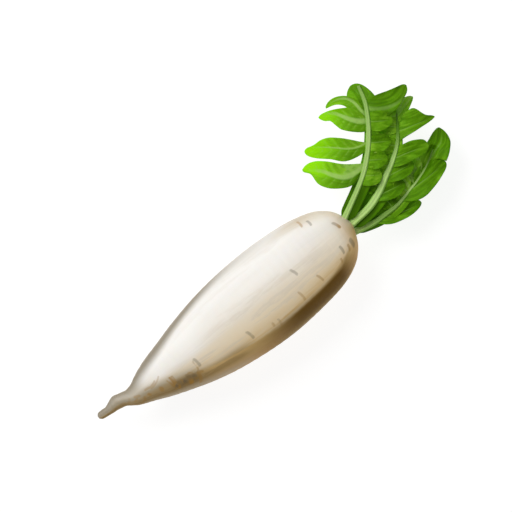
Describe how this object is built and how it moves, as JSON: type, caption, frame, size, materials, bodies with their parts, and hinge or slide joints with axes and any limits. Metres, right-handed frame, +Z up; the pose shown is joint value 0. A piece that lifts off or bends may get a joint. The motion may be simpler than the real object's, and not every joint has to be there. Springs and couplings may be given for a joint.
{
  "type": "daikon radish",
  "caption": "Long white daikon radish with a tapering root, a thin bent tail and lobed green leaves, lying on its side.",
  "frame": {"origin": "middle of the small flat spot on the belly, under the radish's weight", "axes": "+X along the root from the tail towards the crown, +Y to the left of that, the side to which the leaves sweep, +Z up from the surface it lies on"},
  "size_m": [0.3959, 0.1411, 0.083],
  "materials": {
    "root_skin": "smooth moist ivory skin, tan where it was in the soil",
    "leaf": "soft satin green leaf, lime at the tips, with pale ribs"
  },
  "bodies": {
    "root": {"root": "root_skin", "leaf_upper": "leaf", "leaf_middle": "leaf", "leaf_lower": "leaf"}
  },
  "joints": []
}
